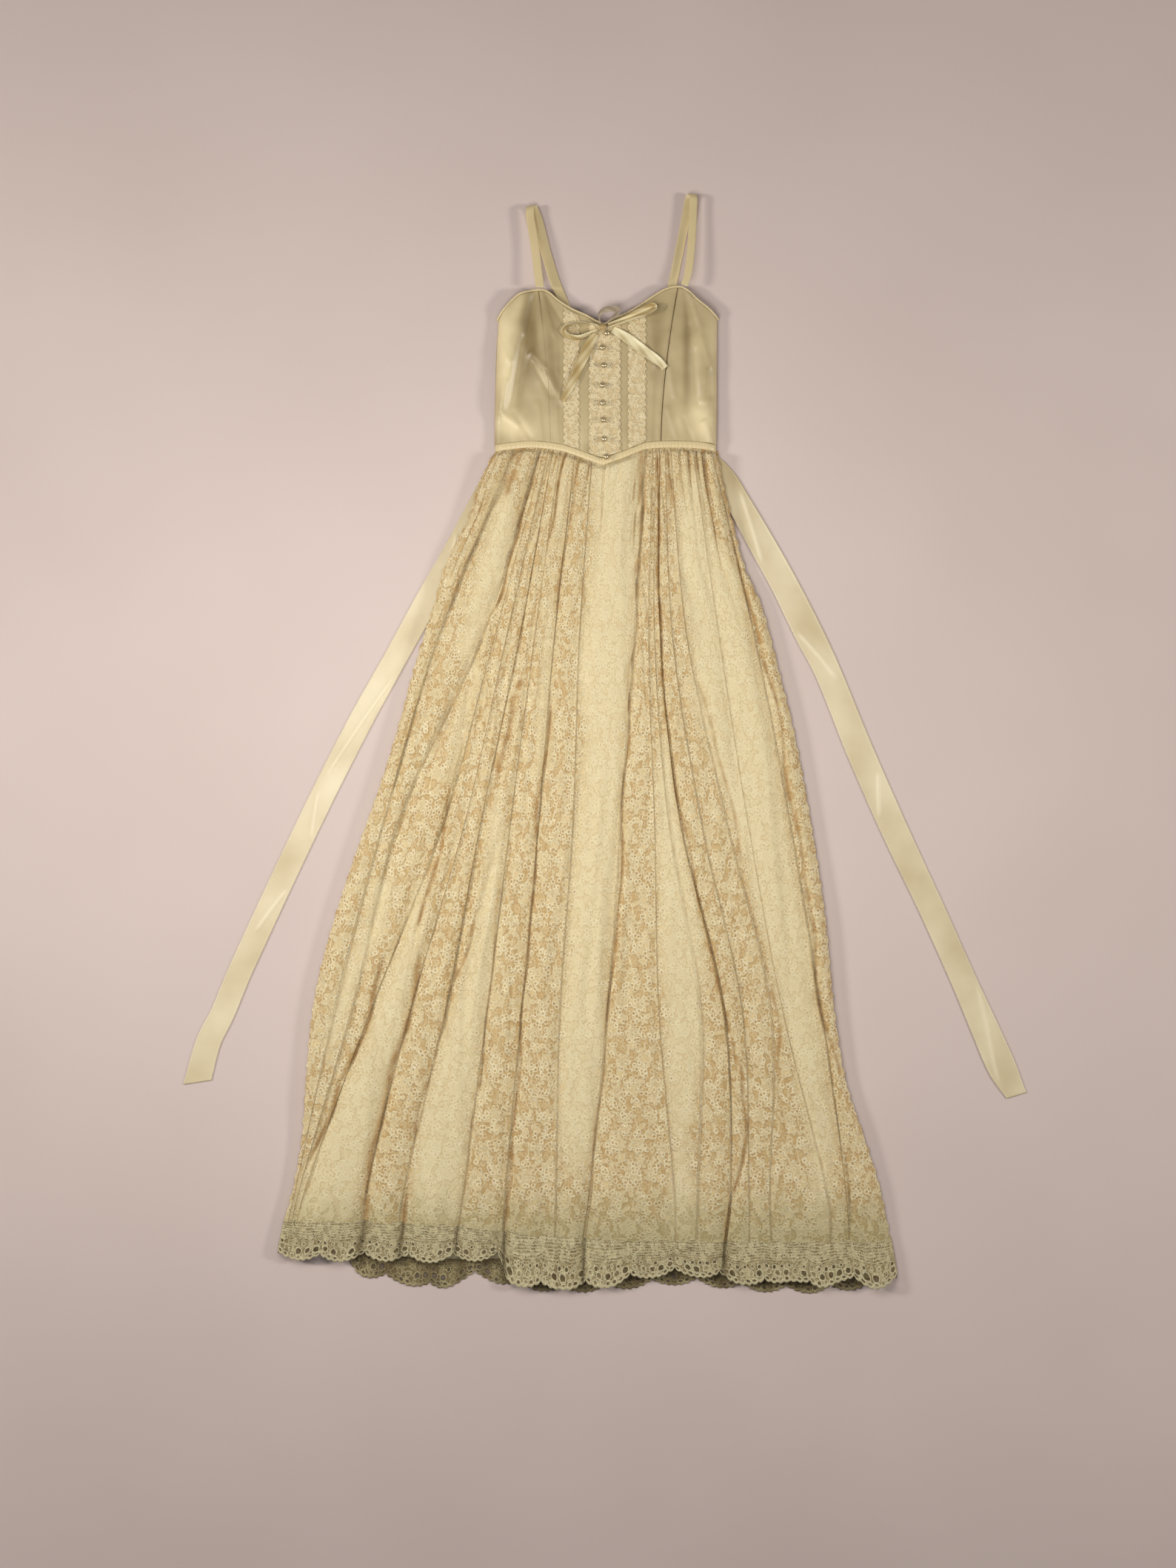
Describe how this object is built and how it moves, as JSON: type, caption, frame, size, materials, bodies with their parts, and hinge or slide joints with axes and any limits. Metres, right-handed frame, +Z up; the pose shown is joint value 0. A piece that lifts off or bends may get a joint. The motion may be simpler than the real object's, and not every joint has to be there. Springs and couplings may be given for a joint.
{
  "type": "wedding dress",
  "caption": "Sleeveless wedding dress laid flat: satin bodice with lace bands, pearl buttons and a ribbon bow, thin straps, sash ties, gathered lace skirt and scalloped lace hem.",
  "frame": {"origin": "middle of the dress's plan, on the floor it lies on", "axes": "+Y from the hem towards the neck, +X to the viewer's right with the front up, +Z up off the floor"},
  "size_m": [1.1008, 1.432, 0.0247],
  "materials": {
    "lace": "matt ivory lace over a pale lining",
    "lining": "smooth pale lining",
    "hem_lace": "matt lace border",
    "satin": "ivory satin",
    "sash": "pale ivory satin",
    "ribbon": "glossy satin ribbon",
    "pearl": "pearl"
  },
  "bodies": {
    "root": {"skirt_back_lace": "lace", "hem_lace_back": "hem_lace", "skirt_front_lining": "lining", "skirt_front_lace": "lace", "hem_lace_front": "hem_lace", "bodice_back": "satin", "bodice_side_left": "satin", "bodice_centre_front": "satin", "bodice_side_right": "satin", "lace_band_left": "lace", "lace_band_centre": "lace", "lace_band_right": "lace", "waistband_front": "ribbon", "waistband_back": "ribbon", "neck_piping": "ribbon", "strap_left": "satin", "strap_right": "satin", "sash_left": "sash", "sash_right": "sash", "bow_knot": "ribbon", "bow_loop_right": "ribbon", "bow_loop_left": "ribbon", "bow_loop_back": "ribbon", "bow_tail_right": "ribbon", "bow_tail_left": "ribbon", "pearl_button_1": "pearl", "pearl_button_2": "pearl", "pearl_button_3": "pearl", "pearl_button_4": "pearl", "pearl_button_5": "pearl", "pearl_button_6": "pearl", "pearl_button_7": "pearl", "pearl_button_8": "pearl"}
  },
  "joints": []
}
